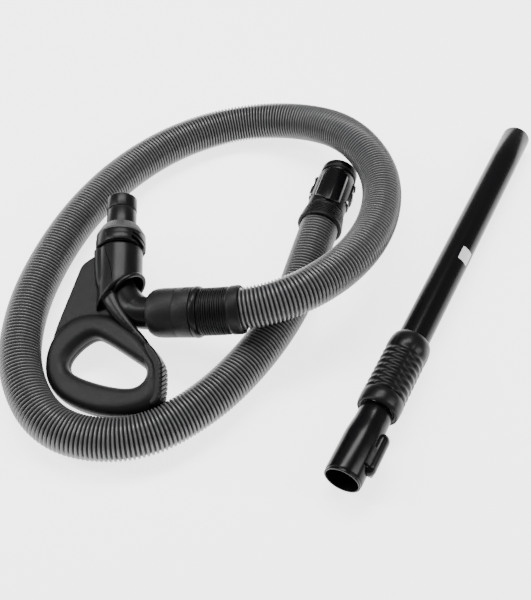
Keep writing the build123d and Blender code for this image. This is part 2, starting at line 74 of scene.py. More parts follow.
neck_dir = Vector(joints["suction_ring_turn"]["axis"])
cuff_dir = Vector(joints["cuff_swivel"]["axis"])
handle_up = cuff_dir.cross(neck_dir).normalized()
handle_right = neck_dir.cross(handle_up)
HANDLE = plane(joints["cuff_swivel"]["pos_m"], handle_up, handle_right)
CUFF = plane(joints["cuff_swivel"]["pos_m"], cuff_dir, handle_up)
NECK_RING_AT = 96.5
neck_origin = Vector(joints["suction_ring_turn"]["pos_m"]) - neck_dir * NECK_RING_AT * MM
NECK = plane(neck_origin, neck_dir, handle_right)
connector_dir = Vector(joints["connector_swivel"]["axis"])
CONNECTOR_BASE = 20
connector_origin = Vector(joints["connector_swivel"]["pos_m"]) - connector_dir * CONNECTOR_BASE * MM
CONNECTOR = plane(connector_origin, connector_dir, connector_dir.cross(Vector((0, 0, -1))))
wand_dir = Vector(mounts["wand_end"]["axis"])
WAND_SOCKET_AT = 24
wand_origin = Vector(mounts["wand_socket"]["pos_m"]) - wand_dir * WAND_SOCKET_AT * MM
WAND = plane(wand_origin, wand_dir, wand_dir.cross(Vector((0, 0, -1))))
print("handle leans", round(math.degrees(handle_up.angle(Vector((0, 0, 1)))), 1), "degrees")

# %% [markdown]
# ## Camera, floor and light
#
# The set lies on a pale floor and is seen from in front and well above. A long soft panel on each
# side and one overhead draw the broad pale streaks that show the roundness of black parts, which a
# small lamp would turn into hard dots. The floor glows a little, so it stays nearly white.

# %% Camera, floor and light
CAMERA_HEIGHT = 0.85
CAMERA_TILT = math.radians(52.8)
CAMERA_SIDE = -0.053
CAMERA_BACK = -0.651
CAMERA_LENS = 54.9
WORLD_LIGHT = 0.4
FLOOR_GLOW = 2.6
FLOOR_HALF = 6
camera_data = bpy.data.cameras.new("camera")
camera_data.sensor_fit = "VERTICAL"
camera_data.sensor_height = 36
camera_data.lens = CAMERA_LENS
camera = bpy.data.objects.new("camera", camera_data)
camera.location = (CAMERA_SIDE, CAMERA_BACK, CAMERA_HEIGHT)
camera.rotation_euler = (math.pi / 2 - CAMERA_TILT, 0, 0)
bpy.context.collection.objects.link(camera)
bpy.context.scene.camera = camera


def softbox(name, place, aim, size, power):
    """A rectangular area lamp that looks at a point."""
    data = bpy.data.lights.new(name, "AREA")
    data.shape = "RECTANGLE"
    data.size, data.size_y = size
    data.energy = power
    lamp = bpy.data.objects.new(name, data)
    lamp.location = place
    lamp.rotation_euler = (Vector(aim) - Vector(place)).to_track_quat("-Z", "Y").to_euler()
    bpy.context.collection.objects.link(lamp)


softbox("overhead_panel", (-0.15, 0.75, 1.7), (0, 0, 0), (1.5, 0.45), 42)
softbox("left_panel", (-1.6, 0.1, 1.1), (0, 0, 0), (0.35, 1.5), 26)
softbox("right_panel", (1.5, -0.3, 1.2), (0, 0, 0), (0.3, 1.3), 18)

world = bpy.data.worlds.new("studio")
bpy.context.scene.world = world
world.use_nodes = True
sky = world.node_tree.nodes["Background"]
sky.inputs["Color"].default_value = (1, 1, 1, 1)
sky.inputs["Strength"].default_value = WORLD_LIGHT

floor_mesh = bmesh.new()
bmesh.ops.create_grid(floor_mesh, x_segments=1, y_segments=1, size=FLOOR_HALF)
floor_data = bpy.data.meshes.new("floor")
floor_mesh.to_mesh(floor_data)
floor_mesh.free()
floor = bpy.data.objects.new("floor", floor_data)
bpy.context.collection.objects.link(floor)
print("camera, floor and", len(bpy.data.lights), "softboxes")

# %% [markdown]
# ## Finishes
#
# Black plastic is never plain black. A moulded shell has a fine spark-eroded grain, a trim strip is
# polished, rubber is dull, and handling leaves a slightly smoother or dustier patch here and there.
# One function builds them all: noise moves the colour and the roughness a little, a finer noise is
# the grain in the bump, and the worn corners are a touch paler.

# %% The one builder of finishes
def finish(name, colour, roughness, grain=0.0, grain_size=900, spread=0.12, rough_spread=0.06,
           wear=0.0, metallic=0.0, specular=0.5):
    """A moulded, painted or metal finish with noise in its colour, roughness and surface."""
    material = bpy.data.materials.new(name)
    material.use_nodes = True
    nodes, links = material.node_tree.nodes, material.node_tree.links
    shader = nodes["Principled BSDF"]
    shader.inputs["Metallic"].default_value = metallic
    shader.inputs["Specular IOR Level"].default_value = specular
    place = nodes.new("ShaderNodeTexCoord")

    def cloud(scale, detail):
        """Noise of a scale on the object's own coordinates."""
        texture = nodes.new("ShaderNodeTexNoise")
        texture.inputs["Scale"].default_value = scale
        texture.inputs["Detail"].default_value = detail
        links.new(place.outputs["Object"], texture.inputs["Vector"])
        return texture.outputs["Fac"]

    patches = cloud(28, 4)
    tone = nodes.new("ShaderNodeMix")
    tone.data_type = "RGBA"
    tone.inputs["A"].default_value = [c * (1 - spread) for c in colour] + [1]
    tone.inputs["B"].default_value = [c * (1 + spread) for c in colour] + [1]
    links.new(patches, tone.inputs["Factor"])
    surface = tone.outputs["Result"]
    if wear:
        geometry = nodes.new("ShaderNodeNewGeometry")
        corners = nodes.new("ShaderNodeMapRange")
        corners.inputs["From Min"].default_value = 0.53
        corners.inputs["From Max"].default_value = 0.62
        links.new(geometry.outputs["Pointiness"], corners.inputs["Value"])
        amount = nodes.new("ShaderNodeMath")
        amount.operation = "MULTIPLY"
        links.new(corners.outputs["Result"], amount.inputs[0])
        links.new(cloud(160, 3), amount.inputs[1])
        rub = nodes.new("ShaderNodeMix")
        rub.data_type = "RGBA"
        rub.inputs["B"].default_value = [min(1, c + wear) for c in colour] + [1]
        links.new(amount.outputs["Value"], rub.inputs["Factor"])
        links.new(surface, rub.inputs["A"])
        surface = rub.outputs["Result"]
    links.new(surface, shader.inputs["Base Color"])
    polish = nodes.new("ShaderNodeMapRange")
    polish.inputs["To Min"].default_value = max(0.03, roughness - rough_spread)
    polish.inputs["To Max"].default_value = roughness + rough_spread
    links.new(cloud(75, 5), polish.inputs["Value"])
    links.new(polish.outputs["Result"], shader.inputs["Roughness"])
    if grain:
        bump = nodes.new("ShaderNodeBump")
        bump.inputs["Strength"].default_value = grain
        bump.inputs["Distance"].default_value = 0.0004
        links.new(cloud(grain_size, 2), bump.inputs["Height"])
        links.new(bump.outputs["Normal"], shader.inputs["Normal"])
    return material


# %% The finishes of this set
satin = finish("satin_black", (0.003, 0.003, 0.0035), 0.32, grain=0.10, grain_size=1500, wear=0.01,
               specular=0.16)
gloss = finish("gloss_black", (0.002, 0.002, 0.0025), 0.22, grain=0.03, grain_size=600, wear=0.01,
               specular=0.14)
textured = finish("textured_black", (0.006, 0.006, 0.0065), 0.44, grain=0.6, grain_size=1300, wear=0.01,
                  specular=0.2)
soft = finish("soft_black", (0.003, 0.003, 0.0035), 0.45, grain=0.15, grain_size=1800, specular=0.18)
hose_grey = finish("hose_grey", (0.085, 0.085, 0.087), 0.3, grain=0.06, grain_size=900, spread=0.15,
                   specular=0.6)
flute_grey = finish("flute_grey", (0.035, 0.035, 0.037), 0.42, grain=0.12, grain_size=1500, wear=0.03)
tube_black = finish("tube_black", (0.003, 0.003, 0.0035), 0.22, grain=0.02, grain_size=300,
                    rough_spread=0.03, specular=0.1)
steel = finish("steel", (0.52, 0.52, 0.52), 0.3, grain=0.05, grain_size=1200, metallic=1.0)
bright = finish("chrome_tube", (0.6, 0.6, 0.62), 0.16, grain=0.02, grain_size=700, metallic=1.0)
paper = finish("label_pale", (0.6, 0.61, 0.6), 0.45, grain=0.05, grain_size=700, spread=0.04)
rubber = finish("seal_rubber", (0.008, 0.008, 0.008), 0.6, grain=0.12, grain_size=1800, specular=0.2)
floor_finish = finish("pale_floor", (0.9, 0.9, 0.9), 0.7, spread=0.01)
floor_shader = floor_finish.node_tree.nodes["Principled BSDF"]
floor_shader.inputs["Emission Color"].default_value = (1, 1, 1, 1)
floor_shader.inputs["Emission Strength"].default_value = FLOOR_GLOW
floor_data.materials.append(floor_finish)
FINISH = {"satin_black": satin, "gloss_black": gloss, "textured_black": textured, "soft_black": soft,
          "hose_grey": hose_grey, "flute_grey": flute_grey, "tube_black": tube_black, "steel": steel,
          "chrome_tube": bright, "label_pale": paper, "seal_rubber": rubber}
print("made", len(FINISH), "finishes and the floor's")

# %% [markdown]
# ## Finishes for the parts that keep their CAD shape
#
# The record names one material slot for each node. Parts whose CAD shape is already right, such as
# pins, springs and inner tubes, only take the finish of that slot.

# %% Dress the CAD nodes
slot_of = {part["node"]: part["material_slot"] for part in frame["record"]["subparts"]}
for name, node in frame["nodes"].items():
    node.data.materials.clear()
    node.data.materials.append(FINISH[slot_of[name]])
print("dressed", len(slot_of), "CAD nodes")

# %% [markdown]
# ## The hose
#
# A real hose is one tube of fixed length, laid in a loose loop. Its line is a smooth curve led by a
# short list of route points, the same list that the CAD tube follows. A flat grid is rolled into
# the tube: each row becomes a ring, scaled to its place in the rib's shape and carried to its
# place along the curve, so the ribs stay even round every bend.

# %% The hose's route and centreline
HOSE_ROUTE = [
    (-80, -73, 72.2), (-36, -72, 82), (34, -23, 79), (78, 50, 71), (88, 132, 68), (53, 209, 64),
    (-10, 262, 38), (-90, 274, 23), (-166, 240, 23), (-228, 185, 23), (-274, 117, 23), (-305, 41, 23),
    (-323, -39, 23), (-319, -123, 23), (-273, -195, 23), (-186, -206, 23), (-115, -161, 23),
    (-62, -98, 23), (-21, -25, 23), (0, 46, 25.5), (14, 90, 27.5),
]


def route_line(points):
    """The points of a smooth spline with the given control points, in metres."""
    data = bpy.data.curves.new("route", "CURVE")
    data.dimensions = "3D"
    spline = data.splines.new("NURBS")
    spline.points.add(len(points) - 1)
    for point, place in zip(spline.points, points):
        point.co = [v * MM for v in place] + [1]
    spline.order_u = 3
    spline.use_endpoint_u = True
    spline.resolution_u = 40
    curve = bpy.data.objects.new("route", data)
    mesh = bpy.data.meshes.new_from_object(curve)
    line = [vertex.co.copy() for vertex in mesh.vertices]
    bpy.data.objects.remove(curve)
    return line


def evenly(line, step):
    """The same line with points a fixed step apart, and its length."""
    reach = [0.0]
    for a, b in zip(line, line[1:]):
        reach.append(reach[-1] + (b - a).length)
    count = round(reach[-1] / step)
    points, k = [], 0
    for i in range(count + 1):
        s = reach[-1] * i / count
        while k < len(line) - 2 and reach[k + 1] < s:
            k += 1
        share = (s - reach[k]) / (reach[k + 1] - reach[k])
        points.append(line[k].lerp(line[k + 1], min(1, share)))
    return points, reach[-1]


def frames_along(points):
    """A matrix at each point, z along the line, turning as little as possible between points."""
    matrices, x = [], Vector((0, 0, 1))
    for i, point in enumerate(points):
        z = (points[min(i + 1, len(points) - 1)] - points[max(i - 1, 0)]).normalized()
        x = (x - z * x.dot(z)).normalized()
        y = z.cross(x)
        matrices.append(Matrix.Translation(point) @ Matrix((x, y, z)).transposed().to_4x4())
    return matrices


RIB_PITCH = 4.15
RIB_STEPS = 6
hose_line, hose_length = evenly(route_line(HOSE_ROUTE), RIB_PITCH * MM / RIB_STEPS)
print("hose length", round(hose_length, 3), "m,", round(hose_length / RIB_PITCH / MM), "ribs")

# %% Roll the ribs and carry them along the centreline
HOSE_RADIUS = 23.0
RIB_RADII = (0.0, -0.35, -1.9, -2.9, -1.9, -0.35)
HOSE_SIDES = 26


def ribbed_tube(frames, radius, radii, sides):
    """A grid rolled into a tube: each row becomes a ring, scaled to the rib's shape."""
    tube = bmesh.new()
    tube.loops.layers.uv.new("round_and_along")
    rows = len(frames) - 1
    bmesh.ops.create_grid(tube, x_segments=sides, y_segments=rows, size=1, calc_uvs=True)
    for vertex in tube.verts:
        turn = math.pi * (vertex.co.x + 1)
        row = round((vertex.co.y + 1) / 2 * rows)
        size = (radius + radii[row % len(radii)]) * MM
        vertex.co = frames[row] @ Vector((size * math.cos(turn), size * math.sin(turn), 0))
    bmesh.ops.remove_doubles(tube, verts=tube.verts, dist=1e-6)
    bmesh.ops.holes_fill(tube, edges=tube.edges, sides=sides)
    bmesh.ops.recalc_face_normals(tube, faces=tube.faces)
    return tube


def settle(mesh_in_bmesh, name, material, smooth_angle=math.radians(40)):
    """Turn a bmesh into an object at the origin, smooth but for its hard edges."""
    data = bpy.data.meshes.new(name)
    for edge in mesh_in_bmesh.edges:
        edge.smooth = not (edge.is_manifold and edge.calc_face_angle() > smooth_angle)
    for face in mesh_in_bmesh.faces:
        face.smooth = True
    mesh_in_bmesh.to_mesh(data)
    mesh_in_bmesh.free()
    data.materials.append(material)
    piece = bpy.data.objects.new(name, data)
    bpy.context.collection.objects.link(piece)
    return piece


hose_frames = frames_along(hose_line)
hose_mesh = ribbed_tube(hose_frames, HOSE_RADIUS, RIB_RADII, HOSE_SIDES)
hose = settle(hose_mesh, "hose_tube", hose_grey, math.radians(80))
print("hose triangles", 2 * len(hose.data.polygons))
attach(hose, "handle")
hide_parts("hose")

# %% [markdown]
# ## Painted shade in the valleys
#
# The valleys between the ribs get little light. That shade is painted into the colour: the tube's
# own UV runs along it, so a wave with one turn to each rib darkens the valleys and leaves the crests.

# %% Paint shade into the hose's valleys
VALLEY_FROM = 0.12
VALLEY_TO = 0.42
VALLEY_SHADE = 0.12


def paint_valley_shade(material, ribs):
    """Paint shade into a finish's colour with a wave along the UV, dark halfway between two crests."""
    nodes, links = material.node_tree.nodes, material.node_tree.links
    shader = nodes["Principled BSDF"]
    along = nodes.new("ShaderNodeUVMap")
    along.uv_map = "round_and_along"
    parts = nodes.new("ShaderNodeSeparateXYZ")
    links.new(along.outputs["UV"], parts.inputs["Vector"])
    count = nodes.new("ShaderNodeMath")
    count.operation = "MULTIPLY"
    count.inputs[1].default_value = ribs
    links.new(parts.outputs["Y"], count.inputs[0])
    wave = nodes.new("ShaderNodeMath")
    wave.operation = "PINGPONG"
    wave.inputs[1].default_value = 0.5
    links.new(count.outputs["Value"], wave.inputs[0])
    shade = nodes.new("ShaderNodeMapRange")
    shade.inputs["From Min"].default_value = VALLEY_FROM
    shade.inputs["From Max"].default_value = VALLEY_TO
    shade.inputs["To Min"].default_value = 1.0
    shade.inputs["To Max"].default_value = VALLEY_SHADE
    links.new(wave.outputs["Value"], shade.inputs["Value"])
    # The multiply paints shade into the valleys of the hose's colour.
    valley = nodes.new("ShaderNodeMix")
    valley.data_type = "RGBA"
    valley.blend_type = "MULTIPLY"
    valley.inputs["Factor"].default_value = 1.0
    links.new(shader.inputs["Base Color"].links[0].from_socket, valley.inputs["A"])
    links.new(shade.outputs["Result"], valley.inputs["B"])
    links.new(valley.outputs["Result"], shader.inputs["Base Color"])


# Painted shade: one dark band of colour in each valley between the ribs.
paint_valley_shade(hose_grey, (len(hose_line) - 1) / len(RIB_RADII))
print("hose finish has", len(hose_grey.node_tree.nodes), "nodes")

# %% [markdown]
# ## Turned parts
#
# Cuffs, rings, sockets and tubes are bodies of revolution, so they are turned on a lathe: one
# profile of radius and height is spun once round the axis. A sharp corner on real plastic always
# has a small radius that catches the light, so every hard edge then gets a narrow bevel.

# %% The lathe
def soften(shape, width, angle=math.radians(24)):
    """Bevel the edges of a bmesh that turn more than an angle."""
    hard = [e for e in shape.edges if e.is_manifold and e.calc_face_angle() > angle]
    bmesh.ops.bevel(shape, geom=hard, offset=width, segments=2, profile=0.5, affect="EDGES",
                    material=-1, clamp_overlap=True)


def turned(profile, steps=96, edge=0.35):
    """A bmesh ring spun from a closed profile of (radius, height) points, in millimetres."""
    shape = bmesh.new()
    corners = [shape.verts.new((radius, 0, height)) for radius, height in profile]
    sides = [shape.edges.new(pair) for pair in zip(corners, corners[1:] + corners[:1])]
    bmesh.ops.spin(shape, geom=corners + sides, cent=(0, 0, 0), axis=(0, 0, 1), dvec=(0, 0, 0),
                   angle=2 * math.pi, steps=steps, use_merge=True, use_duplicate=False)
    bmesh.ops.remove_doubles(shape, verts=shape.verts, dist=1e-4)
    bmesh.ops.recalc_face_normals(shape, faces=shape.faces)
    level = [e for e in shape.edges if abs(e.verts[0].co.z - e.verts[1].co.z) < 1e-3]
    around = [e for e in level if abs(e.verts[0].co.xy.length - e.verts[1].co.xy.length) < 1e-3]
    hard = [e for e in around if e.is_manifold and e.calc_face_angle() > math.radians(20)]
    if edge:
        bmesh.ops.bevel(shape, geom=hard, offset=edge, segments=2, profile=0.5, affect="EDGES",
                        material=-1, clamp_overlap=True)
    return shape


def put(shape, place, name, material, body, stands_for=(), smooth_angle=math.radians(34)):
    """Carry a bmesh from its working plane into the model, and say what it rides on."""
    bmesh.ops.transform(shape, matrix=place, verts=shape.verts)
    if place.determinant() < 0:
        bmesh.ops.reverse_faces(shape, faces=shape.faces)
    piece = settle(shape, name, material, smooth_angle)
    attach(piece, body)
    if stands_for:
        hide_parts(*stands_for)
    print(name, "rides on", body, "with", len(piece.data.polygons), "faces")


def joined(*shapes):
    """Several bmeshes in one."""
    whole = bmesh.new()
    for shape in shapes:
        data = bpy.data.meshes.new("part")
        shape.to_mesh(data)
        shape.free()
        whole.from_mesh(data)
        bpy.data.meshes.remove(data)
    return whole


def block(size, place):
    """A box of a size, moved and turned by a matrix."""
    shape = bmesh.new()
    bmesh.ops.create_cube(shape, size=1)
    bmesh.ops.scale(shape, vec=size, verts=shape.verts)
    bmesh.ops.transform(shape, matrix=place, verts=shape.verts)
    return shape


def at(x, y, z):
    """The matrix that moves to a place."""
    return Matrix.Translation((x, y, z))


def about(axis, degrees):
    """The matrix that turns about an axis."""
    return Matrix.Rotation(math.radians(degrees), 4, axis)

# %% [markdown]
# ## Flat mouldings with round edges
#
# The grip, its web and the heel pad are outlines with thickness. A flat curve with a fill and a
# bevel does this in one step: the smooth outline comes from a few control points, an inner loop
# becomes a hole, and the bevel rounds both faces evenly.

# %% Flat mouldings
def moulding(loops, low, high, rounding, smooth=8, bevel_steps=5):
    """A bmesh slab between two heights from closed control-point loops; later loops are holes."""
    data = bpy.data.curves.new("moulding", "CURVE")
    data.dimensions = "2D"
    data.fill_mode = "BOTH"
    data.extrude = (high - low) / 2 - rounding
    data.bevel_depth = rounding
    data.bevel_resolution = bevel_steps
    data.offset = -rounding
    for loop in loops:
        spline = data.splines.new("NURBS")
        spline.points.add(len(loop) - 1)
        for point, (x, y) in zip(spline.points, loop):
            point.co = (x, y, 0, 1)
        spline.order_u = 3
        spline.use_cyclic_u = True
        spline.resolution_u = smooth
    curve = bpy.data.objects.new("moulding", data)
    mesh = bpy.data.meshes.new_from_object(curve)
    shape = bmesh.new()
    shape.from_mesh(mesh)
    bpy.data.objects.remove(curve)
    bmesh.ops.translate(shape, vec=(0, 0, (low + high) / 2), verts=shape.verts)
    bmesh.ops.remove_doubles(shape, verts=shape.verts, dist=1e-3)
    bmesh.ops.recalc_face_normals(shape, faces=shape.faces)
    return shape

# %% [markdown]
# ## The handle's skin
#
# The real shells flow from a round grip into a flat web and up into the neck, with soft hollows
# between them. Blending such forms by hand is slow. Here the plain forms are laid over each other,
# a voxel remesh fuses them into one skin, and a few rounds of smoothing melt the joints into the
# soft hollows of a moulding. Cuts that must stay crisp are made afterwards.

# %% Outlines on the handle's plane, in millimetres
NECK_X = -63
NECK_RADIUS = 25
NECK_END = 87.4
GRIP_LOOP = [(-145, -30), (-143, -62), (-121, -90), (-76, -111), (-36, -113), (-14, -104), (-12, -76),
             (-16, -56), (-34, -28), (-52, -10), (-72, 7), (-108, 12), (-134, -4)]
GRIP_HOLE = [(-121, -42), (-108, -26), (-90, -16), (-78, -22), (-44, -50), (-27, -64), (-30, -78),
             (-44, -85), (-78, -75), (-114, -57)]
WEB = [(-140, -16), (-133, 8), (-120, 44), (-111.5, 68), (-109, 75), (-104, 80), (-92, 86.5), (-86, 86.5),
       (-76, 60), (-66, 16), (-56, -12), (-110, -14), (-134, -30)]
ALONG_NECK = at(NECK_X, 0, 0) @ about("X", -90)


def cylinder(radius, low, high, sides=96):
    """A solid cylinder on the z axis between two heights."""
    shape = bmesh.new()
    bmesh.ops.create_cone(shape, cap_ends=True, segments=sides, radius1=radius, radius2=radius,
                          depth=high - low, matrix=at(0, 0, (low + high) / 2))
    return shape


def moved(shape, place):
    """The same bmesh, carried by a matrix."""
    bmesh.ops.transform(shape, matrix=place, verts=shape.verts)
    return shape


def loose_object(shape, name):
    """A helper object for a remesh or a boolean, removed after use."""
    data = bpy.data.meshes.new(name)
    shape.to_mesh(data)
    shape.free()
    helper = bpy.data.objects.new(name, data)
    bpy.context.collection.objects.link(helper)
    return helper


def modified(shape, kind, **settings):
    """A bmesh after one modifier."""
    helper = loose_object(shape, "helper")
    modifier = helper.modifiers.new("step", kind)
    for key, value in settings.items():
        setattr(modifier, key, value)
    graph = bpy.context.evaluated_depsgraph_get()
    graph.update()
    data = bpy.data.meshes.new_from_object(helper.evaluated_get(graph))
    result = bmesh.new()
    result.from_mesh(data)
    bpy.data.objects.remove(helper)
    bpy.data.meshes.remove(data)
    return result


def minus(shape, tool):
    """One bmesh less another."""
    cutter = loose_object(tool, "cutter")
    result = modified(shape, "BOOLEAN", operation="DIFFERENCE", object=cutter, solver="EXACT")
    bpy.data.objects.remove(cutter)
    return result


def fused(shape, voxel, rounds):
    """Overlapping forms as one skin, with the joints melted."""
    skin = modified(shape, "REMESH", mode="VOXEL", voxel_size=voxel, use_smooth_shade=True)
    for _ in range(rounds):
        bmesh.ops.smooth_vert(skin, verts=skin.verts, factor=0.5, use_axis_x=True, use_axis_y=True,
                              use_axis_z=True)
    return skin


def half_of(skin, side, gap):
    """The part of a skin above or below the parting plane, closed with a flat face."""
    half = skin.copy()
    bmesh.ops.bisect_plane(half, geom=half.verts[:] + half.edges[:] + half.faces[:], dist=1e-4,
                           plane_co=(0, 0, gap * side), plane_no=(0, 0, -side), clear_outer=True)
    rim = [edge for edge in half.edges if edge.is_boundary]
    bmesh.ops.triangle_fill(half, edges=rim, use_beauty=True, use_dissolve=False, normal=(0, 0, -side))
    bmesh.ops.recalc_face_normals(half, faces=half.faces)
    return half


# %% Grip and web: fuse, press in the parting line, and part the shells
PARTING_WIDE = 1.5
PARTING_SINK = 0.6
PARTING_GAP = 0.06
grip_form = moulding([GRIP_LOOP, GRIP_HOLE], -14, 14, 11)
web_form = moulding([WEB], -6, 6, 1.5)
grip_skin = fused(joined(grip_form, web_form), 1.3, 4)
for vertex in grip_skin.verts:
    depth = PARTING_WIDE - abs(vertex.co.z)
    if depth > 0 and abs(vertex.normal.z) < 0.6:
        vertex.co -= vertex.normal * depth * PARTING_SINK
for side_name, side in (("top", 1), ("bottom", -1)):
    put(half_of(grip_skin, side, PARTING_GAP), HANDLE, "grip_" + side_name + "_shell", textured, "handle",
        ["handle_" + side_name + "_shell"], smooth_angle=math.radians(50))
grip_skin.free()

# %% [markdown]
# ## Neck, trim strip and arch
#
# The neck is a round pipe, cut open below in an arch with a thick round rim. A strip starts on its
# left side, sweeps down past the elbow and runs out in the grip. It is a bar that gets thinner on
# its way, fused to the neck, with a fine joint line pressed in along its edge.

# %% Neck with its strip
ARCH_AT = (-53.5, 38.5)
ARCH_DIR = Vector((0.62, -0.78, 0))
ARCH_PLANE = at(ARCH_AT[0], ARCH_AT[1], 0) @ ARCH_DIR.to_track_quat("Z", "Y").to_matrix().to_4x4()
ARCH_BORE = 18.6
STRIP_LINE = [(-79, 94, 5), (-78, 74, 6), (-76, 54, 7), (-73, 36, 8), (-67, 18, 9), (-58, 2, 9),
              (-49, -11, 8), (-41, -21, 6), (-33, -32, 3), (-28, -42, 0)]
JOINT_LINE = [(-74, 90), (-72, 78), (-66.5, 62), (-63.5, 50), (-63, 40)]


def vertices_of(geometry):
    """Only the points in what a bmesh operator made."""
    return [part for part in geometry if isinstance(part, bmesh.types.BMVert)]


def ribbon(points, width, low, high):
    """A thin upright wall along a line, used to cut a joint line."""
    wall = bmesh.new()
    feet = [wall.verts.new((x, y, low)) for x, y in points]
    edges = [wall.edges.new(pair) for pair in zip(feet, feet[1:])]
    grown = bmesh.ops.extrude_edge_only(wall, edges=edges)["geom"]
    bmesh.ops.translate(wall, vec=(0, 0, high - low), verts=vertices_of(grown))
    bmesh.ops.recalc_face_normals(wall, faces=wall.faces)
    bmesh.ops.solidify(wall, geom=wall.faces[:], thickness=width)
    bmesh.ops.recalc_face_normals(wall, faces=wall.faces)
    return wall


def swept(route, radius_at, sides):
    """A round bar along a route, its radius worked out from the share of the way."""
    points, length = evenly(route_line(route), 1.5 * MM)
    frames = frames_along(points)
    radii = [radius_at(i / len(frames)) for i in range(len(frames))]
    bar = ribbed_tube(frames, 0, radii, sides)
    bmesh.ops.scale(bar, vec=(1 / MM, 1 / MM, 1 / MM), verts=bar.verts)
    print("swept", round(length / MM), "mm")
    return bar


def strip_radius(share):
    """Full beside the neck, then thinner and thinner towards the grip."""
    return 13.5 - 8 * min(1, max(0, (share - 0.3) / 0.5))


strip = swept(STRIP_LINE, strip_radius, 48)
neck = moved(cylinder(NECK_RADIUS, 6, 95), ALONG_NECK)
neck = minus(neck, block((140, 70, 80), ARCH_PLANE @ at(0, 0, 40)))
neck = minus(neck, moved(cylinder(ARCH_BORE, -26, 10, 64), ARCH_PLANE))
neck_skin = fused(joined(strip, neck), 1.2, 5)
neck_skin = minus(neck_skin, block((140, 40, 90), at(NECK_X, NECK_END + 20, 0)))
neck_skin = minus(neck_skin, ribbon(JOINT_LINE, 0.7, 19.5, 32))
put(neck_skin, HANDLE, "handle_neck_strip", satin, "handle", ["handle_trim_band"])

arch_rim = turned([(18.5, -2), (22.9, -2), (22.9, 3.2), (18.5, 3.2)], edge=1.7)
put(arch_rim, HANDLE @ ARCH_PLANE, "arch_rim", satin, "handle", ["arch_collar"])

# %% [markdown]
# ## Elbow
#
# The elbow grows from a narrow throat in the neck to the full width of the cuff. A straight pipe
# would miss that, so it is swept as the strip is, with a radius that grows.

# %% Elbow
ELBOW_LINE = [(-62, 70, 0), (-62, 50, 0), (-60, 40, 0), (-54, 26, 0), (-46, 13, 0), (-38, 6.4, 0),
              (-28, 4, 0), (-18, 2.5, 0), (-10, 1.4, 0)]


def elbow_radius(share):
    """From the throat's radius to the full one, slowly at first."""
    return 13.5 + 4.5 * min(1, 1.6 * share) ** 1.5


put(swept(ELBOW_LINE, elbow_radius, 72), HANDLE, "elbow_pipe", satin, "handle", ["elbow"])

# %% [markdown]
# ## Spigot, fluted ring and suction ring
#
# The spigot is a plain turned tube with a sealing ring in a groove. The ring below it has fine
# flutes for the fingers: after spinning, its points are drawn in by a wave of the turn. The suction
# ring has a raised thumb plate and two slanting air slots, which a spin with a rise cuts out.

# %% Spigot and its seal
SPIGOT_RADIUS = 17.35
SPIGOT_BORE = 15.2
FLUTE_LOW = 105
FLUTE_HIGH = 118.5
SPIGOT_TIP = 159
SEAL_AT = 140
spigot = turned([(SPIGOT_BORE, FLUTE_HIGH - 8), (SPIGOT_RADIUS - 0.4, FLUTE_HIGH - 8),
                 (SPIGOT_RADIUS - 0.3, SEAL_AT), (SPIGOT_RADIUS - 1.5, SEAL_AT + 0.2),
                 (SPIGOT_RADIUS - 1.5, SEAL_AT + 1.9), (SPIGOT_RADIUS, SEAL_AT + 2.1),
                 (SPIGOT_RADIUS, SPIGOT_TIP - 1), (SPIGOT_RADIUS - 0.8, SPIGOT_TIP),
                 (SPIGOT_BORE, SPIGOT_TIP)], edge=0.25)
put(spigot, NECK, "spigot_tube", satin, "handle", ["spigot"])
seal = turned([(SPIGOT_RADIUS - 1.7, SEAL_AT + 0.25), (SPIGOT_RADIUS - 0.7, SEAL_AT + 0.25),
               (SPIGOT_RADIUS - 0.7, SEAL_AT + 1.85), (SPIGOT_RADIUS - 1.7, SEAL_AT + 1.85)], edge=0.4)
put(seal, NECK, "spigot_seal_ring", rubber, "handle", ["spigot_seal"])

# %% Fluted ring
FLUTES = 60
FLUTE_DEPTH = 0.016
flutes = turned([(17.4, FLUTE_LOW), (28.0, FLUTE_LOW), (28.0, FLUTE_LOW + 2), (26.9, FLUTE_LOW + 4),
                 (22.8, FLUTE_HIGH - 2), (21.4, FLUTE_HIGH), (17.4, FLUTE_HIGH)], steps=FLUTES * 4, edge=0)
for vertex in flutes.verts:
    turn = math.atan2(vertex.co.y, vertex.co.x)
    if vertex.co.xy.length > 20 and vertex.co.z > FLUTE_LOW + 1:
        vertex.co.xy *= 1 - FLUTE_DEPTH * (0.5 + 0.5 * math.cos(FLUTES * turn))
put(flutes, NECK, "fluted_collar", flute_grey, "handle", ["fluted_ring"])


# %% Suction ring
def sector(profile, start, sweep, rise=0.0, steps=24):
    """A closed piece of a ring: a profile spun over part of a turn, with an optional rise."""
    shape = bmesh.new()
    corners = [shape.verts.new((radius, 0, height)) for radius, height in profile]
    face = shape.faces.new(corners)
    bmesh.ops.transform(shape, matrix=about("Z", start), verts=shape.verts)
    bmesh.ops.spin(shape, geom=[face], cent=(0, 0, 0), axis=(0, 0, 1), dvec=(0, 0, rise / steps),
                   angle=math.radians(sweep), steps=steps, use_merge=False, use_duplicate=False)
    bmesh.ops.recalc_face_normals(shape, faces=shape.faces)
    return shape


RING_LOW = 88.2
RING_HIGH = 104.7
THUMB_ANGLE = -104
suction = turned([(22.1, RING_LOW), (27.2, RING_LOW), (28.2, RING_LOW + 1.6), (28.5, RING_HIGH - 5),
                  (27.9, RING_HIGH - 2), (27.9, RING_HIGH), (22.1, RING_HIGH)], steps=120, edge=0.4)
plate = sector([(27.2, RING_LOW + 0.4), (29.6, RING_LOW + 0.7), (29.7, RING_LOW + 10),
                (27.2, RING_LOW + 10.4)], THUMB_ANGLE, 60)
soften(plate, 0.45, math.radians(40))
for start, low, size in ((-41, 99.0, 2.4), (-50, 93.0, 4.2)):
    slot = sector([(25.0, low), (31, low), (31, low + size), (25.0, low + size)], start, 72, rise=-12)
    suction = minus(suction, slot)
put(joined(suction, plate), NECK, "suction_collar", satin, "suction_ring", ["suction_ring"])

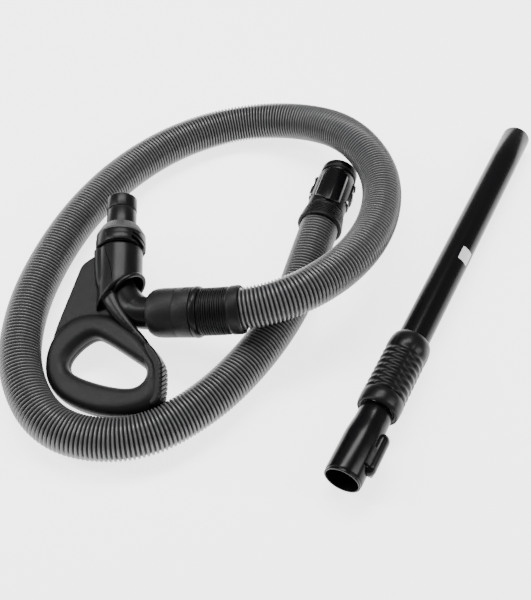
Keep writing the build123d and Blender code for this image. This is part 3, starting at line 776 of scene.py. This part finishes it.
# %% [markdown]
# ## Cuff, collar and boot
#
# The cuff turns on the elbow. It is a lathe part with a rounded nose and two shallow joint lines.
# The boot behind it has pairs of thin ribs, so that it can bend with the hose. It is turned
# straight and then bent along its arc.

# %% Cuff and collar
cuff = turned([(18.4, -26), (19.6, -26), (22.6, -24.6), (25.2, -21), (26.6, -16.5), (27.1, -11), (27.2, 6),
               (26.75, 6.2), (26.75, 6.7), (27.25, 6.9), (27.5, 24.4), (24.6, 24.4), (24.6, -12),
               (18.4, -16)], steps=120, edge=0.25)
put(cuff, CUFF, "cuff_body", textured, "cuff", ["cuff_shell"])
collar = turned([(24.2, 25.3), (27.4, 25.3), (28.0, 26.2), (28.0, 29.4), (26.6, 32.2), (24.2, 32.2)],
                steps=120)
put(collar, CUFF, "cuff_end_ring", satin, "cuff", ["cuff_collar"])


def on_surface(radius, height, degrees):
    """A small working plane on a turned surface: x round it, y along it, z outwards."""
    turn = math.radians(degrees)
    out = Vector((math.cos(turn), math.sin(turn), 0))
    along = Vector((0, 0, 1))
    turned_to = Matrix((along.cross(out), along, out)).transposed().to_4x4()
    return at(*(out * radius + along * height)) @ turned_to


snap = bmesh.new()
bmesh.ops.create_circle(snap, segments=10, radius=0.42, matrix=at(3.0, 0, 0) @ about("X", 90))
bmesh.ops.spin(snap, geom=snap.verts[:] + snap.edges[:], cent=(0, 0, 0), axis=(0, 0, 1), dvec=(0, 0, 0),
               angle=math.radians(235), steps=28, use_merge=False, use_duplicate=False)
bmesh.ops.holes_fill(snap, edges=snap.edges, sides=12)
bmesh.ops.recalc_face_normals(snap, faces=snap.faces)
bmesh.ops.scale(snap, vec=(0.8, 1.25, 1), verts=snap.verts)
snap_place = on_surface(27.35, 17.5, -42) @ about("Z", 90)
put(snap, CUFF @ snap_place, "cuff_snap_mark", gloss, "cuff", ["cuff_clip"])

# %% Boot, turned straight and bent on its arc
BOOT_START = 32.8
BOOT_END = Vector((77, -9, 0))
BOOT_RING = 12
cuff_line = Vector((0.99, -0.14, 0)).normalized()


def bent(shape, length, start, end):
    """Bend a turned shape whose axis runs from 0 to a length, on the arc from start to end."""
    chord = end - start
    turn = 2 * math.asin(cuff_line.cross(chord.normalized()).z)
    radius = chord.length / (2 * math.sin(turn / 2))
    left = Vector((-cuff_line.y, cuff_line.x, 0))
    for vertex in shape.verts:
        angle = turn * vertex.co.z / length
        centre = start + left * radius
        side = -cuff_line * math.sin(angle) + left * math.cos(angle)
        vertex.co = centre - side * radius + side * vertex.co.y + Vector((0, 0, 1)) * vertex.co.x
    bmesh.ops.recalc_face_normals(shape, faces=shape.faces)
    return shape


boot_from = cuff_line * BOOT_START
boot_length = (BOOT_END - boot_from).length
RIB_PAIRS = 6
ribbed_end = boot_length - BOOT_RING - 0.6
profile = [(23.3, 0), (25.2, 0), (25.4, 1.4)]
pitch = (ribbed_end - 2.4) / RIB_PAIRS
for i in range(RIB_PAIRS):
    foot = 1.8 + i * pitch
    for fin in (0, 0.42):
        low = foot + fin * pitch
        profile += [(24.2, low), (25.9, low + 0.25), (25.9, low + 0.25 * pitch),
                    (24.2, low + 0.3 * pitch)]
profile += [(24.2, ribbed_end), (23.3, ribbed_end)]
boot = bent(turned(profile, edge=0.15), boot_length, boot_from, BOOT_END)
put(boot, HANDLE, "boot_ribs", soft, "handle", ["boot"])
boot_ring = turned([(23.2, ribbed_end + 0.3), (25.4, ribbed_end + 0.3), (26.2, ribbed_end + 2),
                    (26.4, boot_length - 2), (25.6, boot_length), (23.9, boot_length)], edge=0.4)
boot_ring = bent(boot_ring, boot_length, boot_from, BOOT_END)
put(boot_ring, HANDLE, "boot_end_ring", soft, "handle", ["boot_ring"])

# %% [markdown]
# ## Tail of the grip
#
# The grip ends in a flat heel with slanted ribs that stops the hand. A rounded pad is cut by a row
# of turned slots.

# %% Heel pad
HEEL = [(-34, -34), (-24, -35), (-10.5, -58), (-9.5, -70), (-10, -88), (-13, -104), (-24, -109), (-24, -94),
        (-20, -78), (-20, -62)]
HEEL_SLOTS = 9
HEEL_SLOT_PITCH = 5.2
HEEL_SLANT = 34
heel = moulding([HEEL], -11.5, 11, 3)
for i in range(HEEL_SLOTS):
    slot_place = at(-9.5, -56 - i * HEEL_SLOT_PITCH, 0) @ about("X", HEEL_SLANT)
    heel = minus(heel, block((7, 1.3, 60), slot_place))
put(heel, HANDLE, "grip_heel", soft, "handle", ["handle_tail_pad"])

# %% [markdown]
# ## The wand
#
# The tube is enamelled steel, drawn thin, with its end rolled inwards. The sleeve over it unlocks
# the telescope. Its ribs are scalloped for the fingers: each rib swells and fades six times round.
# Moving the points of a spun rib by a wave of the turn gives exactly that, with few points.

# %% Tube and its rolled end
TUBE_RADIUS = 17.6
TUBE_BORE = 16.7
TUBE_START = 96
END_RADIUS = 17.5
WAND_LENGTH = 560
tube = turned([(TUBE_BORE, TUBE_START), (TUBE_RADIUS, TUBE_START), (TUBE_RADIUS, WAND_LENGTH - 61),
               (END_RADIUS, WAND_LENGTH - 59), (END_RADIUS, WAND_LENGTH - 0.7),
               (17.1, WAND_LENGTH - 0.1), (16.8, WAND_LENGTH - 0.1), (16.1, WAND_LENGTH - 0.9),
               (15.9, WAND_LENGTH - 2.2), (TUBE_BORE, WAND_LENGTH - 4)], steps=128, edge=0)
put(tube, WAND, "outer_tube_skin", tube_black, "wand", ["wand_outer_tube"])

# %% Sleeve with scalloped ribs
SLEEVE_LOW = 88
SLEEVE_HIGH = 188
SLEEVE_RADIUS = 23.5
SLEEVE_BORE = 21.5
SLEEVE_VALLEY = 22.0
SLEEVE_RIBS = 7
GROUPS = 6
SWELL_SHARPNESS = 0.45
rib_first = SLEEVE_LOW + 22
rib_pitch = 8.2
outside = [(22.0, SLEEVE_LOW), (22.6, SLEEVE_LOW + 0.8), (23.3, SLEEVE_LOW + 5), (23.6, SLEEVE_LOW + 11),
           (23.5, SLEEVE_LOW + 17), (22.2, SLEEVE_LOW + 19)]
for i in range(SLEEVE_RIBS):
    middle = rib_first + i * rib_pitch
    outside += [(SLEEVE_VALLEY, middle - 2.9), (22.9, middle - 1.9), (SLEEVE_RADIUS, middle - 0.6),
                (SLEEVE_RADIUS, middle + 0.6), (22.9, middle + 1.9), (SLEEVE_VALLEY, middle + 2.9)]
outside += [(22.2, 164.5), (23.5, 167), (23.6, 174), (23.0, 181), (21.8, 185.4), (20.4, 187.6),
            (19.6, SLEEVE_HIGH)]
inside = [(17.68, SLEEVE_HIGH), (17.68, SLEEVE_HIGH - 22), (SLEEVE_BORE, SLEEVE_HIGH - 22),
          (SLEEVE_BORE, SLEEVE_LOW)]
sleeve = turned(outside + inside, steps=144, edge=0)
swell_from = SLEEVE_VALLEY + 0.05
for vertex in sleeve.verts:
    radius = vertex.co.xy.length
    if radius > swell_from and rib_first - 3 < vertex.co.z < rib_first + SLEEVE_RIBS * rib_pitch:
        turn = math.atan2(vertex.co.y, vertex.co.x)
        swell = abs(math.sin(GROUPS / 2 * turn + 0.5)) ** SWELL_SHARPNESS
        vertex.co.xy *= (swell_from + (radius - swell_from) * swell) / radius
put(sleeve, WAND, "sleeve_grip", satin, "wand_sleeve", ["wand_sleeve"], smooth_angle=math.radians(60))
nose = turned([(18.0, SLEEVE_LOW + 0.6), (20.7, SLEEVE_LOW + 0.2), (20.95, SLEEVE_LOW + 0.6),
               (20.95, SLEEVE_LOW + 4), (18.0, SLEEVE_LOW + 4)], edge=0.25)
put(nose, WAND, "sleeve_nose_ring", gloss, "wand_sleeve", ["wand_sleeve_nose"])

# %% Socket with its rim
SOCKET_RADIUS = 20.2
SOCKET_BORE = 17.6
SOCKET_DEPTH = 48
SOCKET_END = 87.4
lip = [(SOCKET_BORE, 0.2), (18.3, 0), (19.3, 0), (19.75, 0.5), (19.75, 2.0), (19.4, 2.3), (19.4, 3.0),
       (20.0, 3.4)]
wall = [(SOCKET_RADIUS, 5), (SOCKET_RADIUS, 49), (20.0, 54), (19.5, 59.5), (18.9, 65), (18.35, 70),
        (18.0, 77), (18.0, SOCKET_END)]
bore = [(16.1, SOCKET_END), (16.1, 60), (15.6, 52), (15.6, SOCKET_DEPTH + 0.4), (SOCKET_BORE, SOCKET_DEPTH)]
socket = turned(lip + wall + bore, steps=128, edge=0.15)
put(socket, WAND, "socket_body", gloss, "wand_inner", ["wand_socket"])

# %% [markdown]
# ## Button housing on the socket
#
# A long capsule covers the latch spring. A capsule is a ball whose two halves stand apart, so the
# points of one ball are pushed outwards from its middle. It sits half sunk in the socket, and a
# small bulge is fused to it beside the button.

# %% Housing and button
HOUSING_TURN = 168
BUTTON_TURN = 144
HOUSING_AT = 39
BUTTON_AT = 31


def capsule(length, width, height):
    """A ball stretched to a capsule along y, half sunk in its surface."""
    shape = bmesh.new()
    bmesh.ops.create_uvsphere(shape, u_segments=48, v_segments=32, radius=width / 2,
                              matrix=about("X", 90))
    for vertex in shape.verts:
        if abs(vertex.co.y) > 1e-4:
            vertex.co.y += math.copysign((length - width) / 2, vertex.co.y)
        vertex.co.z *= 2 * height / width
    return shape


housing = capsule(50, 17, 7.0)
bulge = moved(capsule(11, 7.5, 3.4), at(6.6, -17, 1.2))
housing = fused(joined(housing, bulge), 0.8, 3)
put(housing, WAND @ on_surface(SOCKET_RADIUS, HOUSING_AT, HOUSING_TURN), "button_pod", gloss,
    "wand_inner", ["wand_button_housing"])
button = block((7.6, 20.5, 3.4), at(0, 0, 0))
soften(button, 0.55)
grip_marks = [block((2.6, 0.7, 0.5), at(-1.5, 8.6 - 1.5 * i, 1.75)) for i in range(3)]
put(joined(button, *grip_marks), WAND @ on_surface(21.4, BUTTON_AT, BUTTON_TURN), "release_key",
    textured, "release_button", ["wand_release_button"])

# %% [markdown]
# ## The machine connector
#
# A flared collar with fine rings grips the hose. In front of it turns the connector: a round body
# with a rim, and over its back a folded panel, whose ridge splits the light into a pale and a dark
# facet. The panel's cross-section is a low roof, drawn once and extruded. A latch lies in a slot on
# each side and turns on a steel pin.

# %% Collar, body and tip
SKIRT_RINGS = 6
LATCH_AT = 23
LATCH_PIVOT = 34
profile = [(23.9, -8.8), (26.6, -8.8), (27.2, -7.6), (27.2, -4.2)]
for i in range(SKIRT_RINGS):
    low = -3.6 + i * 2.9
    radius = 26.9 - 0.44 * i
    profile += [(radius - 1.1, low), (radius, low + 0.3), (radius - 0.15, low + 1.9),
                (radius - 1.2, low + 2.2)]
profile += [(24.0, 14.6), (19.7, 14.6), (19.7, 2.1), (23.9, 2.1)]
put(turned(profile, edge=0.2), CONNECTOR, "skirt_collar", soft, "handle", ["connector_skirt"])
body = turned([(19.7, 15.5), (22.4, 15.5), (23.4, 17), (23.5, 60), (23.2, 72), (22.6, 73.6), (21.6, 73.6),
               (21.6, 31), (19.7, 31)], steps=120, edge=0.3)
for side in (-1, 1):
    pin_hole = at(side * LATCH_AT, 0, LATCH_PIVOT) @ about("X", 90)
    body = minus(body, block((9, 14.4, 42), at(side * LATCH_AT, 0, 51)))
    body = minus(body, moved(cylinder(1.3, -11, 11, 24), pin_hole))
put(body, CONNECTOR, "connector_barrel", satin, "connector", ["connector_body"])
tip = turned([(17.0, 74.1), (21.45, 74.1), (21.45, 81.6), (22.1, 82.6), (22.3, 84.2), (22.3, 88.2),
              (21.8, 89.4), (21.2, 89.9), (18.2, 89.9), (17.6, 88.8)], steps=120, edge=0.2)
put(tip, CONNECTOR, "connector_mouth", satin, "connector", ["connector_tip"])

# %% Folded panel on the connector's back
PANEL_LOW = 17.5
PANEL_HIGH = 71
roof = [(-16, 17.4), (-14.2, 21.4), (-5, 25.9), (-3.4, 26.2), (10, 24.3), (15, 20.2), (16.4, 17.2)]
panel = bmesh.new()
outer = [panel.verts.new((x, y, PANEL_LOW)) for x, y in roof]
inner = [panel.verts.new((x * 0.86, y - 4.2, PANEL_LOW)) for x, y in reversed(roof)]
end_face = panel.faces.new(outer + inner)
grown = bmesh.ops.extrude_face_region(panel, geom=[end_face])["geom"]
bmesh.ops.translate(panel, vec=(0, 0, PANEL_HIGH - PANEL_LOW), verts=vertices_of(grown))
bmesh.ops.recalc_face_normals(panel, faces=panel.faces)
for turn in (30, -30):
    corner = at(-3.4, 24, PANEL_LOW - 2) @ about("Y", turn) @ at(0, 0, -12)
    panel = minus(panel, block((80, 40, 24), corner))
for side in (-1, 1):
    panel = minus(panel, block((14, 40, 14), at(side * 19, 20, PANEL_HIGH) @ about("Y", side * 40)))
soften(panel, 0.4, math.radians(18))
put(panel, CONNECTOR, "connector_back_panel", gloss, "connector", ["connector_panel"])

# %% Latches
for side, body_name in ((1, "latch_left"), (-1, "latch_right")):
    lever = block((3.2, 12.6, 36.5), at(side * 23.2, 0, 49.6))
    soften(lever, 0.6)
    hook = block((2.4, 9, 3.2), at(side * 25.0, 0, 65.8))
    soften(hook, 0.5)
    pad = block((1.8, 10, 14), at(side * 25.1, 0, 46))
    soften(pad, 0.6)
    ridges = [block((0.8, 8, 1.0), at(side * 26.1, 0, 41.5 + 2.2 * i)) for i in range(5)]
    lever = joined(lever, hook, pad, *ridges)
    put(lever, CONNECTOR, body_name + "_lever", satin, body_name, [body_name])

# %% The pieces on the hose's line
LINE_PIECES = ("skirt_collar", "connector_barrel", "connector_mouth", "connector_back_panel",
               "latch_left_lever", "latch_right_lever", "boot_ribs", "boot_end_ring")
LINE_NODES = ("connector_bush", "connector_seal", "latch_pin_left", "latch_pin_right", "hose_insert")
line_objects = [bpy.data.objects[name] for name in LINE_PIECES]
line_objects += [frame["nodes"][name] for name in LINE_NODES]
print("hose declared with", len(line_objects), "pieces on it")
